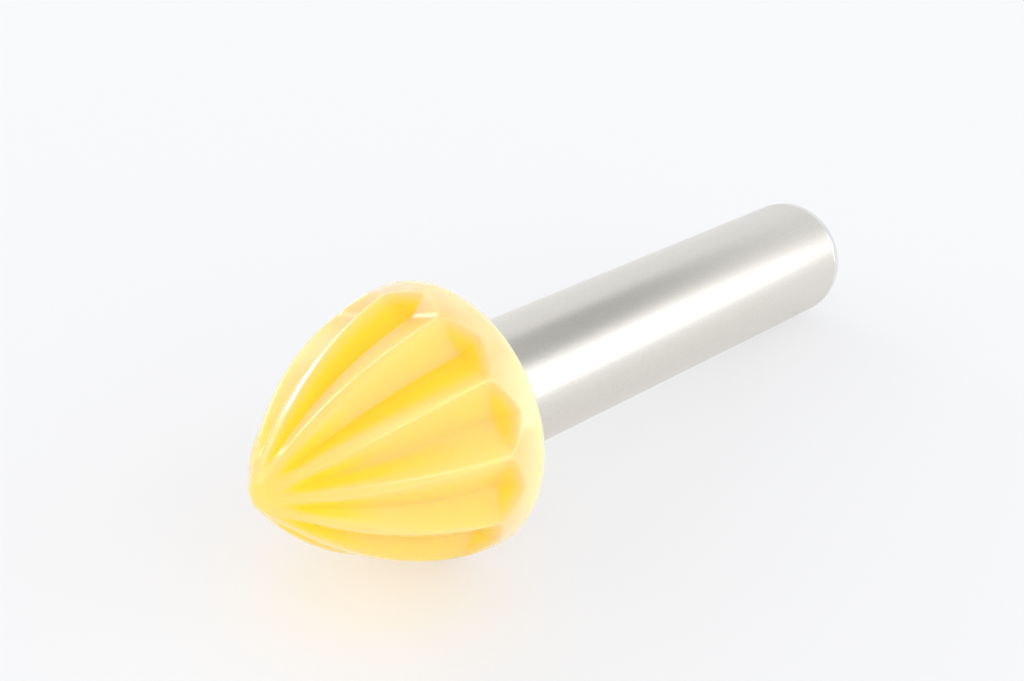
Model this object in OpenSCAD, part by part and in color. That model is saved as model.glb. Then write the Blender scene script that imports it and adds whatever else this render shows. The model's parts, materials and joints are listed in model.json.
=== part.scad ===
// Hand citrus reamer: a solid moulded head with straight flutes, on a tubular metal handle.
// It lies on a table, on the head's rim and the handle's end, as it is put down between uses.
// X runs from the head's tip to the handle's end, Z points up, and the table is at Z = 0.
// The modules draw each piece upright, with its own Z = 0 at the head's tip, and lay() puts it down.

/* [Head] */
// Widest diameter of the head, at its smooth rim
head_d = 51; // [46:0.5:58]
// Radius of the rounded tip
nose_r = 4.6; // [3:0.1:6]
// Radius of the long arc from the tip to the rim, seen from the side
side_r = 62.5; // [58:0.5:80]
// Radius of the rounding from the rim to the flat back
rim_r = 2.8; // [2:0.1:4]
// Angle between the side arc and the handle's axis where the rim rounding starts
rim_angle = 7.5; // [5:0.5:9]

/* [Flutes] */
// Number of straight flutes round the head
flute_count = 11; // [8:1:14]
// Distance from the head's back to the point of the arch that ends a flute
arch_back = 5.3; // [4.8:0.1:8]
// Distance from that point to the fold where the flute turns up towards the rim
arch_l = 3.25; // [2.5:0.25:5]
// Radius of a flute's valley as a part of the head's radius at the same place
valley_ratio = 0.868; // [0.82:0.002:0.93]
// Distance from the tip at which the flutes begin to show
flute_start = 0.6; // [0.3:0.1:2]
// Distance from the tip at which the flutes reach their full depth
flute_full = 7; // [5:0.5:14]
// Half the width of the rounded crest between two flutes
crest_land = 0.3; // [0.2:0.05:0.6]
// Half the width of the rounded bottom of a flute
valley_round = 0.7; // [0.3:0.05:1.2]
// Angle of the first crest, from straight down, as the tool lies
crest_phase = -2.8; // [-16:0.1:16]

/* [Handle] */
// Outside diameter of the handle tube
tube_d = 25; // [23:0.5:28]
// Wall of the handle tube
tube_wall = 1.2; // [1:0.1:1.6]
// Distance from the tip to the joint between the brushed tube and the polished cap
tube_end = 157.4; // [130:0.1:190]

/* [End cap] */
// Radius of the rounding round the cap's end
cap_r = 5.5; // [3.5:0.25:7]
// Length of the cap's spigot inside the tube
spigot_l = 10; // [8:0.5:14]
// Wall of the hollow cap at its flat end
cap_wall = 2; // [1.5:0.1:3]
// Thickness of the ring that seals the spigot
o_ring_d = 1.6; // [1.2:0.1:1.8]

/* [Joint in the head] */
// Diameter of the threaded stud that holds the head to the handle
stud_d = 8; // [6:0.5:8]
// Length of the stud
stud_l = 25; // [20:1:26]
// Outside diameter of the threaded insert moulded into the head
insert_d = 11; // [10.5:0.5:13]
// Length of the insert
insert_l = 13; // [10:0.5:14]
// Length of the plug that is fixed inside the tube's mouth
plug_l = 12; // [10:0.5:16]
// Diameter of the plug's neck, which stands out of the tube and into the head
neck_d = 18; // [14:0.5:18]
// Depth of the head's socket, which takes the neck
socket_depth = 10; // [6:0.5:12]
// Thickness of the soft gasket between the head's back and the tube's mouth
gasket_t = 1; // [0.8:0.1:1.5]

/* [Hidden] */
$fn = 96;

// Gap left all round between pieces that slide or screw together
seat_gap = 0.03;
// Gap left at the end of a piece that doesn't reach the bottom of its hole
end_gap = 0.5;
// How far a cutting shape runs past the face that it opens
past = 1;

head_r = head_d / 2;
tube_r = tube_d / 2;
bore_r = tube_r - tube_wall;
neck_r = neck_d / 2;
stud_r = stud_d / 2;
insert_r = insert_d / 2;

// Centre of the side arc, below the axis, and of the rim rounding, both in the profile's plane
side_y = (head_r - rim_r) - (side_r - rim_r) * cos(rim_angle);
side_z = nose_r + sqrt(pow(side_r - nose_r, 2) - pow(side_y, 2));
rim_z = side_z - (side_r - rim_r) * sin(rim_angle);
rim_y = head_r - rim_r;
back_z = rim_z + rim_r;

// Heights at which the nose arc meets the side arc, and the side arc meets the rim rounding
nose_angle = asin(-side_y / (side_r - nose_r));
nose_end = nose_r * (1 - cos(nose_angle));
side_end = rim_z - rim_r * sin(rim_angle);

// Heights of the arches' points and of the folds
flute_apex = back_z - arch_back;
flute_fold = flute_apex - arch_l;

// Floor of the head's socket, inner end of the insert, mouth of the tube and end of the cap
socket_z = back_z - socket_depth;
insert_z = socket_z - insert_l;
tube_start = back_z + gasket_t;
cap_end = tube_end + cap_r;

// The lying pose: a straight line touches the rim rounding and the cap's rounding from below
cap_y = tube_r - cap_r;
touch_l = sqrt(pow(tube_end - rim_z, 2) + pow(rim_y - cap_y, 2));
tilt = atan((rim_y - cap_y) / (tube_end - rim_z)) - asin((cap_r - rim_r) / touch_l);
tip_height = rim_z * sin(tilt) + rim_y * cos(tilt) + rim_r;
x_low = nose_r * cos(tilt) - nose_r;
x_high = tube_end * cos(tilt) + cap_y * sin(tilt) + cap_r;
tip_x = -(x_low + x_high) / 2;

// Radius of the plain head, before its flutes, at height z
function dome(z) =
    z < nose_end ? sqrt(max(0, pow(nose_r, 2) - pow(z - nose_r, 2)))
    : z < side_end ? side_y + sqrt(pow(side_r, 2) - pow(z - side_z, 2))
    : rim_y + sqrt(max(0, pow(rim_r, 2) - pow(z - rim_z, 2)));

// Angle round the axis that a width takes up on the plain head at height z
function angle_of(width, z) = width / dome(z) * 180 / PI;

// Share of their full depth that the flutes have at height z, rising smoothly from 0 to 1
function flute_share(z) =
    let (t = max(0, min(1, (z - flute_start) / (flute_full - flute_start))))
    t * t * (3 - 2 * t);

// Angle from a flute's middle to the crest's middle
crest_angle = 180 / flute_count;

// Angle to the edge of the crest's narrow land, which near the tip takes at most a quarter
function land_edge(z) = crest_angle - min(crest_angle / 4, angle_of(crest_land, z));

// Radius of the valley's line at height z
function valley_r(z) = dome(z) * (1 - (1 - valley_ratio) * flute_share(z));

// Radius at angle a of the straight line from valley radius v, at angle 0, to radius c at angle e
function wall_radius(a, v, c, e) = v * c * sin(e) / (c * sin(e - a) + v * sin(a));

// Plane of the steep facet that ends a flute: through the fold's two ends and the arch's point
fold_edge = land_edge(flute_fold);
fold_r = dome(flute_fold);
fold_point = [fold_r * cos(fold_edge), fold_r * sin(fold_edge), flute_fold];
valley_point = [valley_r(flute_fold), 0, flute_fold];
apex_point = [dome(flute_apex), 0, flute_apex];
facet_normal = cross(fold_point - valley_point, apex_point - valley_point);
facet_level = facet_normal * valley_point;
facet_turn = atan2(facet_normal[1], facet_normal[0]);
facet_lean = norm([facet_normal[0], facet_normal[1]]);

// Radius of the steep facet at angle a and height z
function facet_radius(a, z) =
    (facet_level - facet_normal[2] * z) / (facet_lean * cos(a - facet_turn));

// Half the arch's width at height z, as the angle where the facet meets the plain head
arch_least = 0.3;
function arch_angle(z) =
    let (part = (facet_level - facet_normal[2] * z) / (facet_lean * dome(z)),
         swing = acos(max(-1, min(1, part))))
    max(arch_least, facet_turn + swing, facet_turn - swing);

// Steps across half a flute, on its wall and on the plain head beside it
wall_steps = 3;
land_steps = 3;
half_steps = wall_steps + land_steps;

// Angle of step i across half a flute, where the wall ends at angle e.
// Step 1 is the edge of the valley's rounding, and the other steps share the wall and the land.
function step_angle(i, e, z) =
    i == 0 ? 0
    : i == 1 ? min(e / wall_steps, angle_of(valley_round, z))
    : i <= wall_steps ? e * (i - 1) / (wall_steps - 1)
    : e + (crest_angle - e) * (i - wall_steps) / land_steps;

// Radius of a flute's wall or steep facet at angle a, where the wall ends at angle e
function floor_radius(a, e, z) =
    z > flute_fold ? min(dome(z), facet_radius(a, z)) : wall_radius(a, valley_r(z), dome(z), e);

// Radius at step i. The valley's middle is raised halfway to its edge, which rounds it.
function step_radius(i, e, z) =
    i >= wall_steps ? dome(z)
    : i > 0 ? floor_radius(step_angle(i, e, z), e, z)
    : (floor_radius(0, e, z) + floor_radius(step_angle(1, e, z), e, z)) / 2;

// Point at angle a from the middle of flute k
function ring_point(k, a, r, z) =
    let (turn = crest_phase + (2 * k + 1) * crest_angle)
    [r * cos(a + turn), r * sin(a + turn), z];

// A ring of points round the head at height z: each flute from one crest's middle to the next
function flute_ring(z) =
    let (e = z > flute_fold ? arch_angle(z) : land_edge(z))
    [for (k = [0:flute_count - 1], i = [-half_steps:half_steps - 1])
        ring_point(k, sign(i) * step_angle(abs(i), e, z), step_radius(abs(i), e, z), z)];

// A ring round the smooth rim: every second point is the middle of one of its narrow flat sides
function plain_ring(z, r) =
    let (a = crest_angle / half_steps)
    [for (k = [0:flute_count - 1], i = [-half_steps:half_steps - 1])
        ring_point(k, i * a, i % 2 == 0 ? r : r * cos(a), z)];

// Heights of the rings on the nose, the side arc and the flutes' steep ends
nose_steps = 4;
side_steps = 15;
arch_steps = 6;
fold_angle = acos((side_z - flute_fold) / side_r);
nose_heights = [for (i = [1:nose_steps]) nose_r * (1 - cos(nose_angle * i / nose_steps))];
side_heights = [for (i = [1:side_steps])
    side_z - side_r * cos(nose_angle + (fold_angle - nose_angle) * i / side_steps)];
arch_heights = [for (i = [1:arch_steps - 1]) flute_fold + arch_l * sin(90 * i / arch_steps)];

// Height and radius of the rings on the rim rounding, from the side arc to the flat back
rim_steps = 7;
rim_points = [for (i = [0:rim_steps])
    let (a = -rim_angle + (90 + rim_angle) * i / rim_steps)
    [rim_z + rim_r * sin(a), rim_y + rim_r * cos(a)]];

rings = concat(
    [for (z = concat(nose_heights, side_heights, arch_heights)) flute_ring(z)],
    [plain_ring(flute_apex, dome(flute_apex))],
    [for (p = rim_points) plain_ring(p[0], p[1])]);
ring_size = flute_count * 2 * half_steps;

// Two triangles between points a and b of one ring and the points one ring further on.
// The two halves of a flute are split on mirrored diagonals.
function patch(a, b, size, first_half) =
    first_half ? [[a, a + size, b], [b, a + size, b + size]]
    : [[a, b + size, b], [a, a + size, b + size]];

// Closed skin over a stack of rings, from a single point at the tip to a flat face at the back
module skin(stack, size) {
    levels = len(stack);
    points = concat([[0, 0, 0]], [for (level = stack) each level]);
    tip_faces = [for (i = [0:size - 1]) [0, 1 + i, 1 + (i + 1) % size]];
    side_faces = [for (k = [0:levels - 2], i = [0:size - 1])
        let (a = 1 + k * size + i, b = 1 + k * size + (i + 1) % size)
        each patch(a, b, size, i % (2 * half_steps) < half_steps)];
    back_face = [[for (i = [1:size]) levels * size + 1 - i]];
    polyhedron(points, concat(tip_faces, side_faces, back_face));
}

// Puts a piece drawn upright down on the table
module lay() {
    translate([tip_x, 0, tip_height]) rotate([0, 90 + tilt, 0]) children();
}

// Straight collar between two radii, from height z up by h
module collar(outer_r, inner_r, z, h) {
    translate([0, 0, z]) difference() {
        cylinder(r = outer_r, h = h);
        translate([0, 0, -past]) cylinder(r = inner_r, h = h + 2 * past);
    }
}

module reamer_head() {
    color([1, 0.88, 0.45]) lay() difference() {
        skin(rings, ring_size);
        translate([0, 0, socket_z]) cylinder(r = neck_r + seat_gap, h = socket_depth + past);
        translate([0, 0, insert_z - seat_gap])
            cylinder(r = insert_r + seat_gap, h = insert_l + past);
    }
}

// Turned insert with a waist that the moulding grips
module threaded_insert() {
    waist_r = insert_r - 0.6;
    thread_r = stud_r + seat_gap;
    color([0.8, 0.65, 0.3]) lay() translate([0, 0, insert_z]) rotate_extrude()
        polygon([[thread_r, 0], [insert_r, 0], [insert_r, insert_l * 0.4],
                 [waist_r, insert_l * 0.45], [waist_r, insert_l * 0.55],
                 [insert_r, insert_l * 0.6], [insert_r, insert_l], [thread_r, insert_l]]);
}

// Stud with chamfered ends, half in the insert and half in the plug
module joining_stud() {
    chamfer = 0.8;
    color([0.75, 0.75, 0.77]) lay() translate([0, 0, insert_z + end_gap]) {
        cylinder(r1 = stud_r - chamfer, r2 = stud_r, h = chamfer);
        translate([0, 0, chamfer]) cylinder(r = stud_r, h = stud_l - 2 * chamfer);
        translate([0, 0, stud_l - chamfer]) cylinder(r1 = stud_r, r2 = stud_r - chamfer, h = chamfer);
    }
}

// Flat soft gasket, its edge a little inside the tube's outline
module neck_gasket() {
    set_back = 0.4;
    color([0.9, 0.9, 0.88]) lay()
        collar(tube_r - set_back, neck_r + seat_gap, back_z, gasket_t);
}

// Stepped plug: the wide part is fixed in the tube, the neck fills the head's socket
module front_plug() {
    neck_l = socket_depth + gasket_t - end_gap;
    color([0.7, 0.7, 0.72]) lay() translate([0, 0, tube_start]) difference() {
        union() {
            cylinder(r = bore_r - seat_gap, h = plug_l);
            translate([0, 0, -neck_l]) cylinder(r = neck_r, h = neck_l + plug_l / 2);
        }
        translate([0, 0, -neck_l - past])
            cylinder(r = stud_r + seat_gap, h = neck_l + plug_l + 2 * past);
    }
}

module handle_tube() {
    color([0.78, 0.78, 0.77]) lay() collar(tube_r, bore_r, tube_start, tube_end - tube_start);
}

// Spigot of the cap: its lower end, and the groove that holds the sealing ring
spigot_z = tube_end - spigot_l;
groove_z = spigot_z + 3;
groove_w = o_ring_d + 0.4;

// Rounded polished cap, hollow inside, with a grooved spigot in the tube
module end_cap() {
    groove_r = bore_r - o_ring_d - 2 * seat_gap;
    spigot_wall = 1.4;
    color([0.86, 0.86, 0.87]) lay() difference() {
        union() {
            translate([0, 0, spigot_z]) cylinder(r = bore_r - seat_gap, h = spigot_l);
            translate([0, 0, tube_end]) rotate_extrude() cap_profile();
        }
        translate([0, 0, spigot_z - past])
            cylinder(r = groove_r - spigot_wall, h = cap_end - cap_wall - spigot_z + past);
        collar(tube_r, groove_r, groove_z, groove_w);
    }
}

// Half of the cap's outline: flat at the end, with a quarter circle down to the tube's side
module cap_profile() {
    intersection() {
        square([tube_r, cap_r]);
        union() {
            square([cap_y, cap_r]);
            translate([cap_y, 0]) circle(r = cap_r);
        }
    }
}

module cap_o_ring() {
    color([0.15, 0.15, 0.15]) lay() translate([0, 0, groove_z + groove_w / 2]) rotate_extrude()
        translate([bore_r - seat_gap - o_ring_d / 2, 0]) circle(d = o_ring_d);
}

reamer_head();
threaded_insert();
joining_stud();
neck_gasket();
front_plug();
handle_tube();
end_cap();
cap_o_ring();
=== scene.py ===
import json
from math import acos, asin, atan, atan2, cos, degrees, hypot, pi, radians, sin, sqrt

import bmesh
import bpy
from mathutils import Matrix, Vector

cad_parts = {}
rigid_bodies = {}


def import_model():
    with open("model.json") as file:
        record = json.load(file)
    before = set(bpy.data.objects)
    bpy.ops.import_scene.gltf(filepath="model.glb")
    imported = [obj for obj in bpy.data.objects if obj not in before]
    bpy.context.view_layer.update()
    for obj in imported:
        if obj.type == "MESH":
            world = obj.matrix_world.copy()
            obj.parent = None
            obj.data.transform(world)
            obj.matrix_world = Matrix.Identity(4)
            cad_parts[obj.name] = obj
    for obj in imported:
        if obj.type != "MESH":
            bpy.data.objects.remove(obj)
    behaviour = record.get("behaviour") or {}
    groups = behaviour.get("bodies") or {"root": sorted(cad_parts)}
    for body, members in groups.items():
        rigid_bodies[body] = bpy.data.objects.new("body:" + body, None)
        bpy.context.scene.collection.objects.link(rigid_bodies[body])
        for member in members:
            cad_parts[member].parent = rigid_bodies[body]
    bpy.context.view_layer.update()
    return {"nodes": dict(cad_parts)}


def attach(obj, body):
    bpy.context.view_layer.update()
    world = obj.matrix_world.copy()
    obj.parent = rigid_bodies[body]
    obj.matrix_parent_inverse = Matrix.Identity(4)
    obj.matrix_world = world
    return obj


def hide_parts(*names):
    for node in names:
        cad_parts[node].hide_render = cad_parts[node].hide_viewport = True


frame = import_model()

MM = 0.001

# Head
HEAD_R = 25.5 * MM
NOSE_R = 4.6 * MM
SIDE_R = 62.5 * MM
RIM_R = 2.8 * MM
RIM_ANGLE = radians(7.5)

# Flutes
FLUTE_COUNT = 11
ARCH_BACK = 5.3 * MM
ARCH_L = 3.25 * MM
VALLEY_RATIO = 0.868
FLUTE_START = 0.6 * MM
FLUTE_FULL = 7 * MM
LAND_AT_FOLD = 0.24 * MM
LAND_AT_TIP = 0.78 * MM
LAND_TIP_Z = 12 * MM
CREST_PHASE = radians(-2.8)
CREST_BLEND = 0.22 * MM
FOLD_BLEND = 0.9 * MM
VALLEY_BLEND = 0.2 * MM
VALLEY_CROWDING = 0.8

# Handle and the joint inside the head
TUBE_R = 12.5 * MM
TUBE_WALL = 1.2 * MM
TUBE_END = 157.4 * MM
CAP_R = 5.5 * MM
SPIGOT_L = 10 * MM
CAP_WALL = 2 * MM
SPIGOT_WALL = 1.4 * MM
GROOVE_SETBACK = 3 * MM
GROOVE_PLAY = 0.4 * MM
O_RING_D = 1.6 * MM
NECK_R = 9 * MM
SOCKET_DEPTH = 10 * MM
INSERT_R = 5.5 * MM
INSERT_L = 13 * MM
GASKET_T = 1 * MM
GASKET_INSET = 0.4 * MM
SEAT_GAP = 0.03 * MM

# Corners
HEAD_BACK_CORNER = 0.4 * MM
TUBE_CORNER = 0.15 * MM
CAP_CORNER = 0.12 * MM

# Painted light and shade in the plastic's yellow: 0 is pale (painted light) and 1 is deep (painted
# shade); turns are in degrees from straight up towards Y
SKIN_PAINTED_SHADE = 0.55
SKIN_PALE_Z = 43 * MM
SKIN_DEEP_Z = 33 * MM
BACK_PAINTED_SHADE = 0.5
BACK_EDGE = 0.8 * MM
TIP_PAINTED_SHADE = 0.1
TIP_PALE_Z = 12 * MM
TIP_DEEP_Z = 2 * MM
TOP_WALLS_TURN = -14
SIDE_WALLS_PAINTED_SHADE = 0.25
UNDER_WALLS_PAINTED_SHADE = 0.3
FACET_PAINTED_SHADE = 0.85
NOSE_DEEP_Z = 7 * MM
NOSE_PALE_Z = 20 * MM
WINDOW_PAINTED_LIGHT = 0.95
PAINTED_SHADE_DEPTH = 0.6

# Light
TENT_GLOW = 0.93
# Painted pool of warm light on the floor below the head
PAINTED_LIGHT_SPOT = Vector((-56, -2, 0)) * MM
PAINTED_LIGHT_CORE = 4 * MM
PAINTED_LIGHT_EDGE = 34 * MM
PAPER_GLOW = 0.62

# Camera of the photograph, as fitted to the tool's outline in a frame 1024 wide
CAMERA_PLACE = Vector((-229.7943, -186.3558, 197.4381)) * MM
CAMERA_FORWARD = Vector((0.6473, 0.5701, -0.5060)).normalized()
CAMERA_LENS = 62.1406

# What follows from them
BORE_R = TUBE_R - TUBE_WALL
CREST_ANGLE = pi / FLUTE_COUNT
SIDE_Y = (HEAD_R - RIM_R) - (SIDE_R - RIM_R) * cos(RIM_ANGLE)
SIDE_Z = NOSE_R + sqrt((SIDE_R - NOSE_R) ** 2 - SIDE_Y ** 2)
RIM_Z = SIDE_Z - (SIDE_R - RIM_R) * sin(RIM_ANGLE)
RIM_Y = HEAD_R - RIM_R
BACK_Z = RIM_Z + RIM_R
NOSE_ANGLE = asin(-SIDE_Y / (SIDE_R - NOSE_R))
NOSE_END = NOSE_R * (1 - cos(NOSE_ANGLE))
SIDE_END = RIM_Z - RIM_R * sin(RIM_ANGLE)
FLUTE_APEX = BACK_Z - ARCH_BACK
FLUTE_FOLD = FLUTE_APEX - ARCH_L
SOCKET_Z = BACK_Z - SOCKET_DEPTH
INSERT_Z = SOCKET_Z - INSERT_L
TUBE_START = BACK_Z + GASKET_T
CAP_END = TUBE_END + CAP_R
CAP_Y = TUBE_R - CAP_R

# The lying pose: a straight line touches the rim and the end cap from below
TOUCH_L = hypot(TUBE_END - RIM_Z, RIM_Y - CAP_Y)
TILT = atan((RIM_Y - CAP_Y) / (TUBE_END - RIM_Z)) - asin((CAP_R - RIM_R) / TOUCH_L)
TIP_HEIGHT = RIM_Z * sin(TILT) + RIM_Y * cos(TILT) + RIM_R
TIP_X = -(NOSE_R * cos(TILT) - NOSE_R + TUBE_END * cos(TILT) + CAP_Y * sin(TILT) + CAP_R) / 2
LAY = Matrix.Translation((TIP_X, 0, TIP_HEIGHT)) @ Matrix.Rotation(pi / 2 + TILT, 4, "Y")

# Steps round the head: on each wall of a flute, on the land beside it, and round the whole
WALL_STEPS = 12
LAND_STEPS = 6
HALF_STEPS = WALL_STEPS + LAND_STEPS
HEAD_STEPS = FLUTE_COUNT * 2 * HALF_STEPS
ROUND_STEPS = 256

# Steps along the head: nose, fluted side, the finer stretch with the folds and arches, and rim
NOSE_STEPS = 8
SIDE_STEPS = 44
ARCH_STEPS = 40
RIM_STEPS = 18


def deselect_all():
    for thing in bpy.context.view_layer.objects:
        thing.select_set(False)


def arc(centre_r, centre_z, radius, start, end, steps):
    """Points (radius, height) on an arc; angles run from straight out towards the tool's end."""
    turns = [start + (end - start) * i / steps for i in range(steps + 1)]
    return [(centre_r + radius * cos(t), centre_z + radius * sin(t)) for t in turns]


def turned(name, outline, steps):
    """A piece turned on a lathe: its outline is drawn point by point, then spun round Z."""
    deselect_all()
    bpy.ops.mesh.primitive_plane_add(size=MM)
    piece = bpy.context.object
    piece.name = piece.data.name = name
    bpy.ops.object.mode_set(mode="EDIT")
    bpy.ops.mesh.merge(type="CENTER")
    bpy.ops.transform.translate(value=(outline[0][0], 0, outline[0][1]))
    for last, point in zip(outline, outline[1:]):
        step = (point[0] - last[0], 0, point[1] - last[1])
        bpy.ops.mesh.extrude_vertices_move(TRANSFORM_OT_translate={"value": step})
    bpy.ops.mesh.select_all(action="SELECT")
    bpy.ops.mesh.spin(steps=steps, angle=2 * pi, center=(0, 0, 0), axis=(0, 0, 1))
    bpy.ops.mesh.select_all(action="SELECT")
    bpy.ops.mesh.remove_doubles(threshold=0.001 * MM)
    bpy.ops.mesh.normals_make_consistent(inside=False)
    bpy.ops.object.mode_set(mode="OBJECT")
    return piece


def finish_piece(piece, slot, *nodes, angle=40):
    """Lays an upright piece down, shades it and hands it to the frame."""
    piece.data.transform(LAY)
    deselect_all()
    piece.select_set(True)
    bpy.context.view_layer.objects.active = piece
    bpy.ops.object.shade_smooth_by_angle(angle=radians(angle))
    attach(piece, "root")
    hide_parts(*nodes)


# Shape of the head


def dome(z):
    """Radius of the plain head at height z."""
    if z < NOSE_END:
        return sqrt(max(0, NOSE_R ** 2 - (z - NOSE_R) ** 2))
    if z < SIDE_END:
        return SIDE_Y + sqrt(SIDE_R ** 2 - (z - SIDE_Z) ** 2)
    return RIM_Y + sqrt(max(0, RIM_R ** 2 - (z - RIM_Z) ** 2))


def step_between(low, high, value):
    """Goes smoothly from 0 at low to 1 at high."""
    t = max(0, min(1, (value - low) / (high - low)))
    return t * t * (3 - 2 * t)


def land_edge(z):
    """Angle from a flute's middle to the crest's narrow land, which widens towards the tip."""
    land = LAND_AT_FOLD + (LAND_AT_TIP - LAND_AT_FOLD) * step_between(FLUTE_FOLD, LAND_TIP_Z, z)
    return CREST_ANGLE - min(CREST_ANGLE / 4, land / dome(z))


def flute_share(z):
    """Share of their full depth that the flutes have at height z: they fade in from the tip."""
    return step_between(FLUTE_START, FLUTE_FULL, z)


# The steep facet that ends a flute: a plane through the fold's two ends and the arch's point
FOLD_EDGE = land_edge(FLUTE_FOLD)
FOLD_R = dome(FLUTE_FOLD)
FOLD_POINT = Vector((FOLD_R * cos(FOLD_EDGE), FOLD_R * sin(FOLD_EDGE), FLUTE_FOLD))
VALLEY_POINT = Vector((FOLD_R * VALLEY_RATIO, 0, FLUTE_FOLD))
APEX_POINT = Vector((dome(FLUTE_APEX), 0, FLUTE_APEX))
FACET_NORMAL = (FOLD_POINT - VALLEY_POINT).cross(APEX_POINT - VALLEY_POINT)
FACET_LEVEL = FACET_NORMAL.dot(VALLEY_POINT)
FACET_TURN = atan2(FACET_NORMAL.y, FACET_NORMAL.x)
FACET_LEAN = hypot(FACET_NORMAL.x, FACET_NORMAL.y)
ARCH_LEAST = radians(0.3)


def facet_r(a, z):
    return (FACET_LEVEL - FACET_NORMAL.z * z) / (FACET_LEAN * cos(a - FACET_TURN))


def wall_edge(z):
    """Angle from a flute's middle at which its floor meets the plain head."""
    if z <= FLUTE_FOLD:
        return land_edge(z)
    part = (FACET_LEVEL - FACET_NORMAL.z * z) / (FACET_LEAN * dome(z))
    swing = acos(max(-1, min(1, part)))
    return max(ARCH_LEAST, FACET_TURN + swing, FACET_TURN - swing)


def blend(low, high, width):
    """The lower of two levels, with the corner between them rounded over a width."""
    return min(low, high) - max(width - abs(low - high), 0) ** 2 / (4 * width)


def fluted_r(a, z):
    """Radius of the finished head at angle a from a flute's middle."""
    plain = dome(z)
    edge = land_edge(min(z, FLUTE_FOLD))
    soft = hypot(a, min(VALLEY_BLEND / plain, edge / 4))
    wall = VALLEY_RATIO * sin(edge) / (sin(edge - soft) + VALLEY_RATIO * sin(soft))
    floor = -blend(-plain * wall, -facet_r(soft, z), FOLD_BLEND)
    full = blend(plain, floor, CREST_BLEND * min(1, plain / HEAD_R * 2))
    return plain + (full - plain) * flute_share(z)


def column_angle(column, z):
    """Angle of a column of points: close together at the valley and at both sides of the edge."""
    edge = wall_edge(z)
    if column <= WALL_STEPS:
        t = column / WALL_STEPS
        return edge * (t - VALLEY_CROWDING * sin(2 * pi * t) / (2 * pi))
    t = (column - WALL_STEPS) / LAND_STEPS
    return edge + (CREST_ANGLE - edge) * t * t


def press_flutes(head):
    """Presses the flutes into the turned skin: each point slides along its ring, then inwards.
    How deep it goes, in mm, stays on the mesh as Flute_depth."""
    depth = head.data.attributes.new("Flute_depth", "FLOAT", "POINT")
    for vertex in head.data.vertices:
        x, y, z = vertex.co
        if z < 1e-6 or z > SIDE_END + 1e-6:
            continue
        place = (atan2(y, x) - CREST_PHASE) / (2 * CREST_ANGLE)
        flute = int(place // 1)
        column = round((place - flute - 0.5) * 2 * HALF_STEPS)
        side = -1 if column < 0 else 1
        a = side * column_angle(abs(column), z)
        turn = CREST_PHASE + (2 * flute + 1) * CREST_ANGLE + a
        r = fluted_r(abs(a), z)
        vertex.co = (r * cos(turn), r * sin(turn), z)
        depth.data[vertex.index].value = (dome(z) - r) / MM


def skin_painted_shading(z):
    """Painted light and shade on the plain skin: pale at the rim, deeper between the arches, at the
    tip and behind.
    """
    return (SKIN_PAINTED_SHADE * step_between(SKIN_PALE_Z, SKIN_DEEP_Z, z)
            + TIP_PAINTED_SHADE * step_between(TIP_PALE_Z, TIP_DEEP_Z, z)
            + BACK_PAINTED_SHADE * step_between(BACK_Z - BACK_EDGE, BACK_Z, z))


def wall_painted_shading(turn, z):
    """Painted shading of a flute's bottom: deep as painted shade on walls turned up, at the facets
    and towards the nose, pale as painted light on those turned to the window.
    """
    top_walls = step_between(32, 20, abs(turn - TOP_WALLS_TURN))
    other_walls = SIDE_WALLS_PAINTED_SHADE + UNDER_WALLS_PAINTED_SHADE * step_between(95, 130, abs(turn))
    # Painted shade in the corners where the flutes end in their facets
    facets = FACET_PAINTED_SHADE * step_between(FLUTE_FOLD - 2 * MM, FLUTE_FOLD + 0.5 * MM, z)
    nose = step_between(NOSE_PALE_Z, NOSE_DEEP_Z, z)
    window = step_between(2, 14, turn) * step_between(150, 110, turn)
    return max(top_walls, other_walls, facets, nose) * (1 - WINDOW_PAINTED_LIGHT * window)


def note_painted_shading(head):
    """Keeps on the mesh, as an attribute, the painted light and shade: how deep the plastic's
    yellow looks at each point, growing with the flute's depth. A valley is painted deep where its
    wall gets its light through the body."""
    painted_shading = head.data.attributes.new("Tint", "FLOAT", "POINT")
    depth = head.data.attributes["Flute_depth"].data
    upright = LAY.inverted()
    for vertex in head.data.vertices:
        z = (upright @ vertex.co).z
        skin = skin_painted_shading(z)
        turn = degrees(atan2(vertex.normal.y, vertex.normal.z))
        full = dome(max(min(z, FLUTE_FOLD), MM)) * (1 - VALLEY_RATIO) / MM
        share = step_between(0, PAINTED_SHADE_DEPTH, depth[vertex.index].value / full)
        painted_shading.data[vertex.index].value = skin + (1 - skin) * wall_painted_shading(turn, z) * share


def head_outline():
    nose = [NOSE_R * (1 - cos(NOSE_ANGLE * i / NOSE_STEPS)) for i in range(1, NOSE_STEPS + 1)]
    low, high = FLUTE_FOLD - FOLD_BLEND, SIDE_END
    swing = acos((SIDE_Z - low) / SIDE_R) - NOSE_ANGLE
    side = [SIDE_Z - SIDE_R * cos(NOSE_ANGLE + swing * i / SIDE_STEPS)
            for i in range(1, SIDE_STEPS + 1)]
    arches = [low + (high - low) * i / ARCH_STEPS for i in range(1, ARCH_STEPS)]
    rim = arc(RIM_Y, RIM_Z, RIM_R, -RIM_ANGLE, pi / 2, RIM_STEPS)
    return [(0, 0)] + [(dome(z), z) for z in nose + side + arches] + rim


def select_ring(piece, z, radius):
    """Selects the edge loop at a height and a radius, in edit mode."""
    skin = bmesh.from_edit_mesh(piece.data)
    for vertex in skin.verts:
        near = abs(vertex.co.z - z) < 0.001 * MM
        vertex.select = near and abs(hypot(vertex.co.x, vertex.co.y) - radius) < 0.01 * MM
    skin.select_flush_mode()
    bmesh.update_edit_mesh(piece.data)


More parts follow.
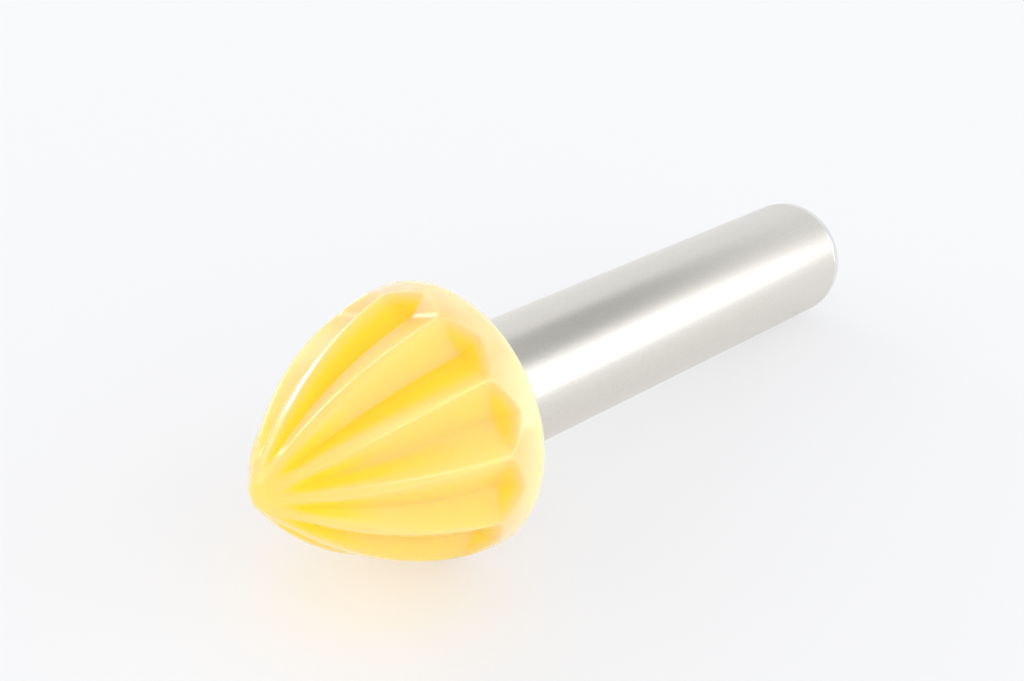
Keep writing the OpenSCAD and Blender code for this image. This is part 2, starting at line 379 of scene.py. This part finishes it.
def make_head():
    head = turned("Reamer_head", head_outline(), HEAD_STEPS)
    press_flutes(head)
    bpy.ops.object.mode_set(mode="EDIT")
    bpy.ops.mesh.select_mode(type="VERT")
    select_ring(head, BACK_Z, RIM_Y)
    bore = NECK_R + SEAT_GAP
    mouth = HEAD_BACK_CORNER
    stages = [(RIM_Y - mouth, BACK_Z), (bore + 2 * mouth, BACK_Z), (bore + mouth, BACK_Z),
              (bore, BACK_Z - mouth), (bore, SOCKET_Z), (INSERT_R + SEAT_GAP, SOCKET_Z),
              (INSERT_R + SEAT_GAP, INSERT_Z - SEAT_GAP)]
    radius, height = RIM_Y, BACK_Z
    for next_radius, next_height in stages:
        bpy.ops.mesh.extrude_edges_move(
            TRANSFORM_OT_translate={"value": (0, 0, next_height - height)})
        scale = next_radius / radius
        bpy.ops.transform.resize(value=(scale, scale, 1), center_override=(0, 0, next_height))
        radius, height = next_radius, next_height
    bpy.ops.mesh.edge_face_add()
    bpy.ops.mesh.select_all(action="SELECT")
    bpy.ops.mesh.normals_make_consistent(inside=False)
    bpy.ops.object.mode_set(mode="OBJECT")
    finish_piece(head, "head_plastic", "reamer_head")
    note_painted_shading(head)
    return head


def make_tube():
    out, bore = TUBE_R - TUBE_CORNER, BORE_R + TUBE_CORNER
    low, high = TUBE_START + TUBE_CORNER, TUBE_END - TUBE_CORNER
    outline = (arc(out, low, TUBE_CORNER, -pi / 2, 0, 4)
               + arc(out, high, TUBE_CORNER, 0, pi / 2, 4)
               + arc(bore, high, TUBE_CORNER, pi / 2, pi, 3)
               + arc(bore, low, TUBE_CORNER, pi, 3 * pi / 2, 3))
    tube = turned("Handle_tube", outline + outline[:1], ROUND_STEPS)
    finish_piece(tube, "brushed_tube", "handle_tube")
    return tube


def make_cap():
    spigot_r = BORE_R - SEAT_GAP
    groove_r = BORE_R - O_RING_D - 2 * SEAT_GAP
    hollow_r = groove_r - SPIGOT_WALL
    spigot_z = TUBE_END - SPIGOT_L
    groove_low = spigot_z + GROOVE_SETBACK
    groove_high = groove_low + O_RING_D + GROOVE_PLAY
    outline = ([(0, CAP_END - CAP_WALL), (hollow_r, CAP_END - CAP_WALL), (hollow_r, spigot_z),
                (spigot_r, spigot_z), (spigot_r, groove_low), (groove_r, groove_low),
                (groove_r, groove_high), (spigot_r, groove_high), (spigot_r, TUBE_END)]
               + arc(TUBE_R - CAP_CORNER, TUBE_END + CAP_CORNER, CAP_CORNER, -pi / 2, 0, 4)
               + arc(CAP_Y, TUBE_END, CAP_R, asin(2 * CAP_CORNER / CAP_R), pi / 2, 24)
               + [(CAP_Y - 0.5 * MM, CAP_END), (0, CAP_END)])
    cap = turned("End_cap", outline, ROUND_STEPS)
    finish_piece(cap, "polished_cap", "end_cap")
    return cap


def make_gasket():
    outer, inner = TUBE_R - GASKET_INSET, NECK_R + SEAT_GAP
    round_r = GASKET_T / 2
    outline = (arc(outer - round_r, BACK_Z + round_r, round_r, -pi / 2, pi / 2, 10)
               + [(inner, TUBE_START), (inner, BACK_Z)])
    gasket = turned("Neck_gasket", outline + outline[:1], ROUND_STEPS)
    finish_piece(gasket, "white_seal", "neck_gasket")
    return gasket


# Materials


class Value:
    """A shader socket; Python's arithmetic on it adds Math nodes to its tree."""

    def __init__(self, tree, socket):
        self.tree = tree
        self.socket = socket

    def math(self, operation, *inputs):
        return self.tree.node("ShaderNodeMath", {"operation": operation},
                              dict(enumerate(inputs)))

    def __add__(self, other):
        return self.math("ADD", self, other)

    def __sub__(self, other):
        return self.math("SUBTRACT", self, other)

    def __mul__(self, other):
        return self.math("MULTIPLY", self, other)

    def __rsub__(self, other):
        return self.math("SUBTRACT", other, self)

    __radd__ = __add__
    __rmul__ = __mul__


class Tree:
    """A node tree. Its node() adds any node and hands out one of that node's outputs."""

    def __init__(self, tree):
        self.tree = tree

    def node(self, kind, settings=None, inputs=None, output=0):
        made = self.tree.nodes.new(kind)
        for key, value in (settings or {}).items():
            if key == "stops":
                self.set_stops(made.color_ramp, value)
            else:
                setattr(made, key, value)
        for key, value in (inputs or {}).items():
            if isinstance(value, Value):
                self.tree.links.new(value.socket, made.inputs[key])
            else:
                made.inputs[key].default_value = value
        return Value(self, made.outputs[output])

    def set_stops(self, ramp, stops):
        while len(ramp.elements) < len(stops):
            ramp.elements.new(1)
        for element, (position, colour) in zip(ramp.elements, stops):
            element.position = position
            element.color = (*colour, 1)


class Finish(Tree):
    """One material."""

    def __init__(self, name, **constants):
        self.material = bpy.data.materials.new(name)
        self.material.use_nodes = True
        super().__init__(self.material.node_tree)
        self.shader = self.tree.nodes["Principled BSDF"]
        for socket, value in constants.items():
            self.shader.inputs[socket.replace("_", " ")].default_value = value

    def feed(self, socket, value):
        self.tree.links.new(value.socket, self.shader.inputs[socket])

    def place(self, scale=(1, 1, 1)):
        """Object coordinates, turned so that X runs along the tool's axis, and scaled."""
        where = self.node("ShaderNodeTexCoord", output="Object")
        return self.node("ShaderNodeMapping", {"vector_type": "POINT"},
                         {"Vector": where, "Rotation": (0, -TILT, 0), "Scale": scale})

    def noise(self, scale, detail=2, stretch=(1, 1, 1)):
        return self.node("ShaderNodeTexNoise", None, {"Vector": self.place(stretch),
                                                      "Scale": scale, "Detail": detail})

    def ramp(self, value, *stops):
        return self.node("ShaderNodeValToRGB", {"stops": stops}, {"Fac": value})

    def bump(self, height, strength, distance):
        return self.node("ShaderNodeBump", None, {"Height": height, "Strength": strength,
                                                  "Distance": distance})


def plastic():
    finish = Finish("Translucent_yellow_plastic", Subsurface_Weight=1.0, Subsurface_Scale=0.012,
                    Subsurface_Radius=(1.0, 0.8, 0.2), IOR=1.5, Specular_IOR_Level=0.5,
                    Coat_Roughness=0.04)
    cloud = finish.noise(60, 3)
    # Painted light and shade from the mesh set the yellow: deeper as painted shade in valleys,
    # corners and up-turned walls, paler as painted light towards the window
    painted_shading = finish.node("ShaderNodeAttribute", {"attribute_name": "Tint"}, output="Fac")
    colour = finish.ramp(painted_shading + (cloud - 0.5) * 0.1, (0.0, (1.0, 0.73, 0.42)),
                         (0.35, (1.0, 0.622, 0.262)), (1.0, (1.0, 0.685, 0.006)))
    finish.feed("Base Color", colour)
    depth = finish.node("ShaderNodeAttribute", {"attribute_name": "Flute_depth"}, output="Fac")
    worn = finish.node("ShaderNodeMapRange", None, {"Value": depth, "From Max": 0.3})
    finish.feed("Coat Weight", 1 - worn)
    finish.feed("Roughness", worn * 0.1 + (finish.noise(220, 2) * 0.04 + 0.08))
    return finish


def brushed():
    finish = Finish("Brushed_steel", Metallic=1.0)
    grain = finish.noise(3600, 3, (0.3, 1, 1))
    finish.feed("Base Color", finish.ramp(grain, (0.25, (0.725, 0.70, 0.64)),
                                          (0.75, (0.80, 0.77, 0.71))))
    finish.feed("Roughness", grain * 0.06 + 0.28)
    finish.feed("Normal", finish.bump(grain, 0.05, 0.02 * MM))
    return finish


def polished():
    finish = Finish("Polished_steel", Metallic=1.0)
    haze = finish.noise(300, 3)
    finish.feed("Base Color", finish.ramp(haze, (0.3, (0.80, 0.79, 0.77)),
                                          (0.7, (0.84, 0.83, 0.81))))
    finish.feed("Roughness", haze * 0.04 + 0.04)
    return finish


def machined(name, dark, light, roughness):
    """Turned metal with fine rings round the tool's axis."""
    finish = Finish(name, Metallic=1.0)
    rings = finish.noise(1500, 2, (1, 0.02, 0.02))
    finish.feed("Base Color", finish.ramp(rings, (0.3, dark), (0.7, light)))
    finish.feed("Roughness", rings * 0.15 + roughness)
    finish.feed("Normal", finish.bump(rings, 0.2, 0.05 * MM))
    return finish


def rubber(name, dark, light):
    finish = Finish(name, Specular_IOR_Level=0.3)
    speckle = finish.noise(700, 4)
    finish.feed("Base Color", finish.ramp(speckle, (0.3, dark), (0.7, light)))
    finish.feed("Roughness", speckle * 0.2 + 0.5)
    finish.feed("Normal", finish.bump(speckle, 0.1, 0.05 * MM))
    return finish


def dress(piece, finish):
    piece.data.materials.clear()
    piece.data.materials.append(finish.material)


head = make_head()
tube = make_tube()
cap = make_cap()
gasket = make_gasket()

steel = machined("Turned_steel", (0.52, 0.52, 0.53), (0.64, 0.64, 0.65), 0.28)
dress(head, plastic())
dress(tube, brushed())
dress(cap, polished())
dress(gasket, rubber("White_silicone", (0.80, 0.80, 0.78), (0.86, 0.86, 0.84)))
dress(frame["nodes"]["threaded_insert"],
      machined("Brass", (0.72, 0.50, 0.20), (0.80, 0.60, 0.28), 0.25))
dress(frame["nodes"]["joining_stud"], steel)
dress(frame["nodes"]["front_plug"], steel)
dress(frame["nodes"]["cap_o_ring"],
      rubber("Black_rubber", (0.02, 0.02, 0.02), (0.04, 0.04, 0.04)))


# Stage


def make_floor():
    """White paper that the camera sees partly as a glow, so that shadows stay faint. Below the head
    a warm pool of light is painted into the glow, standing in for the light that comes through the
    plastic."""
    deselect_all()
    bpy.ops.mesh.primitive_circle_add(vertices=64, radius=3, fill_type="NGON")
    floor = bpy.context.object
    floor.name = "Floor"
    paper = Finish("White_paper", Roughness=0.9, Specular_IOR_Level=0.0)
    paper.shader.inputs["Base Color"].default_value = (0.93, 0.93, 0.94, 1)
    path = paper.node("ShaderNodeLightPath").socket.node.outputs
    seen = Value(paper, path["Is Camera Ray"]) + Value(paper, path["Is Glossy Ray"])
    # Painted pool of warm light round a spot below the head
    here = paper.node("ShaderNodeTexCoord", output="Object")
    away = paper.node("ShaderNodeVectorMath", {"operation": "DISTANCE"},
                      {0: here, 1: PAINTED_LIGHT_SPOT}, output="Value")
    painted_warm_light = paper.node("ShaderNodeMapRange", {"interpolation_type": "SMOOTHSTEP"},
                      {"Value": away, "From Min": PAINTED_LIGHT_EDGE, "From Max": PAINTED_LIGHT_CORE})
    colour = paper.ramp(painted_warm_light, (0.0, (0.895, 0.898, 0.91)), (1.0, (0.99, 0.92, 0.80)))
    glow = paper.node("ShaderNodeEmission", None, {"Color": colour, "Strength": 1.0})
    either = paper.node("ShaderNodeMixShader", None,
                        {0: seen * PAPER_GLOW, 1: Value(paper, paper.shader.outputs[0]), 2: glow})
    paper.tree.links.new(either.socket, paper.tree.nodes["Material Output"].inputs["Surface"])
    dress(floor, paper)


class Sky(Tree):
    """The light tent round the bench: an even glow, with softly edged panels on it."""

    def __init__(self, glow):
        world = bpy.data.worlds.new("Light_tent")
        bpy.context.scene.world = world
        world.use_nodes = True
        super().__init__(world.node_tree)
        way = self.node("ShaderNodeTexCoord", output="Generated")
        split = self.node("ShaderNodeSeparateXYZ", None, {0: way}).socket.node.outputs
        x, y, z = (Value(self, split[i]) for i in range(3))
        self.turn = x.math("ARCTAN2", y, x)
        self.height = z.math("ARCSINE", z)
        self.level = glow

    def window(self, off, half, soft):
        return self.node("ShaderNodeMapRange", {"interpolation_type": "SMOOTHSTEP"},
                         {"Value": off.math("ABSOLUTE", off), "From Min": radians(half + soft),
                          "From Max": radians(half - soft)})

    def panel(self, strength, turn, height, half_wide, half_high, soft):
        """A panel at a compass angle and a height, in degrees; X is 0 and Y is 90."""
        side = self.turn.math("WRAP", self.turn - radians(turn), pi, -pi)
        rise = self.height - radians(height)
        shape = self.window(side, half_wide, soft) * self.window(rise, half_high, soft)
        self.level = shape * strength + self.level

    def hang(self, colour, seen_colour, seen_level):
        """Light comes from the tent; the camera sees plain backdrop paper instead."""
        light = self.node("ShaderNodeBackground", None, {"Color": colour, "Strength": self.level})
        seen = self.node("ShaderNodeBackground", None,
                         {"Color": seen_colour, "Strength": seen_level})
        path = self.node("ShaderNodeLightPath", output="Is Camera Ray")
        either = self.node("ShaderNodeMixShader", None, {0: path, 1: light, 2: seen})
        self.tree.links.new(either.socket, self.tree.nodes["World Output"].inputs["Surface"])


def make_sky():
    sky = Sky(TENT_GLOW)
    # In front: the handle's broad highlight and the light on the near walls
    sky.panel(strength=1.3, turn=-70, height=7, half_wide=47, half_high=16, soft=12)
    sky.panel(strength=0.8, turn=-85, height=37, half_wide=40, half_high=12, soft=10)
    # Behind at the left: the pale far walls
    sky.panel(strength=0.8, turn=105, height=30, half_wide=42, half_high=14, soft=8)
    # Window: the sharp streak on the uppermost crest, and its fainter end
    sky.panel(strength=6, turn=86, height=19, half_wide=8, half_high=5, soft=2.5)
    sky.panel(strength=1.6, turn=66, height=18, half_wide=11, half_high=4, soft=3)
    # Core of the handle's highlight
    sky.panel(strength=0.4, turn=-48, height=6, half_wide=9, half_high=3, soft=3)
    # Dark card: the handle's dark band
    sky.panel(strength=-0.5, turn=-12, height=42, half_wide=30, half_high=11, soft=7)
    sky.hang(colour=(0.97, 0.98, 1.0, 1), seen_colour=(0.95, 0.955, 0.97, 1), seen_level=1.0)


def make_camera():
    data = bpy.data.cameras.new("Camera")
    data.lens = CAMERA_LENS
    data.sensor_width = 36
    data.clip_start = 0.01
    camera = bpy.data.objects.new("Camera", data)
    bpy.context.scene.collection.objects.link(camera)
    camera.location = CAMERA_PLACE
    camera.rotation_euler = CAMERA_FORWARD.to_track_quat("-Z", "Y").to_euler()
    bpy.context.scene.camera = camera


make_floor()
make_sky()
make_camera()
bpy.context.scene.view_settings.view_transform = "Standard"
